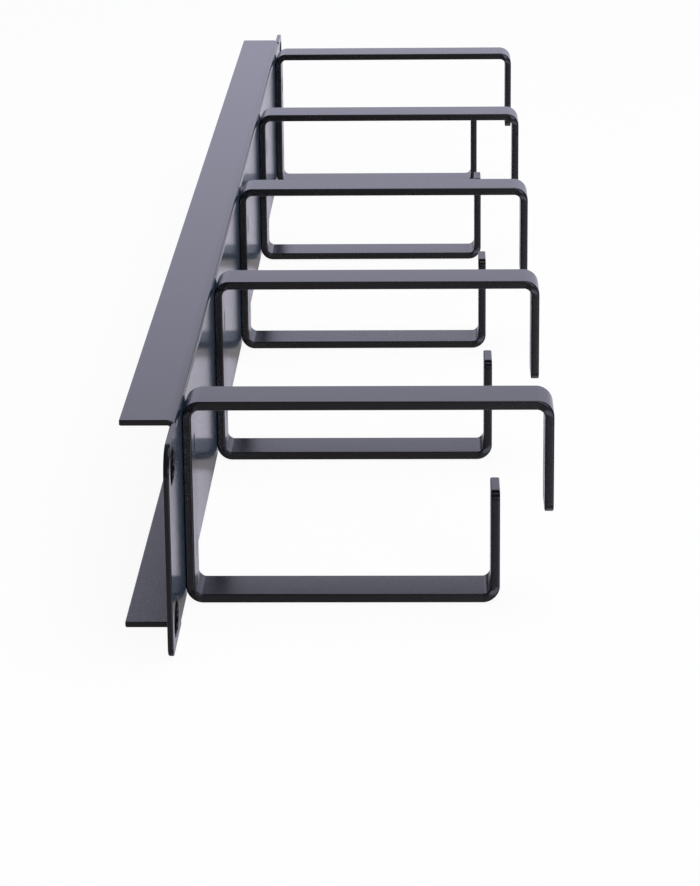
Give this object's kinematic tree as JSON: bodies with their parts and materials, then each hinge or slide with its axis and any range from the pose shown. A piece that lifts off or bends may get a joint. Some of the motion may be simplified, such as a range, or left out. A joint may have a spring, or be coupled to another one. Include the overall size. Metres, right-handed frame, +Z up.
{
  "type": "horizontal cable manager",
  "caption": "Folded steel panel for a 19-inch rack, carrying a row of open rings of bent steel strip that hold network cables across its front.",
  "frame": {"origin": "centre of the four rack slots, on the rear face of the ears, which is the plane that meets the rack's rails", "axes": "+X along the rack's width, +Y into the rack, so that the rings stand out towards -Y, and +Z up"},
  "size_m": [0.4826, 0.0875, 0.044],
  "materials": {
    "black_powder_coat": "black semi-matte powder coat with a faint orange peel, over mild steel"
  },
  "bodies": {
    "root": {"panel": "black_powder_coat", "cable_ring_1": "black_powder_coat", "cable_ring_2": "black_powder_coat", "cable_ring_3": "black_powder_coat", "cable_ring_4": "black_powder_coat", "cable_ring_5": "black_powder_coat"}
  },
  "joints": []
}
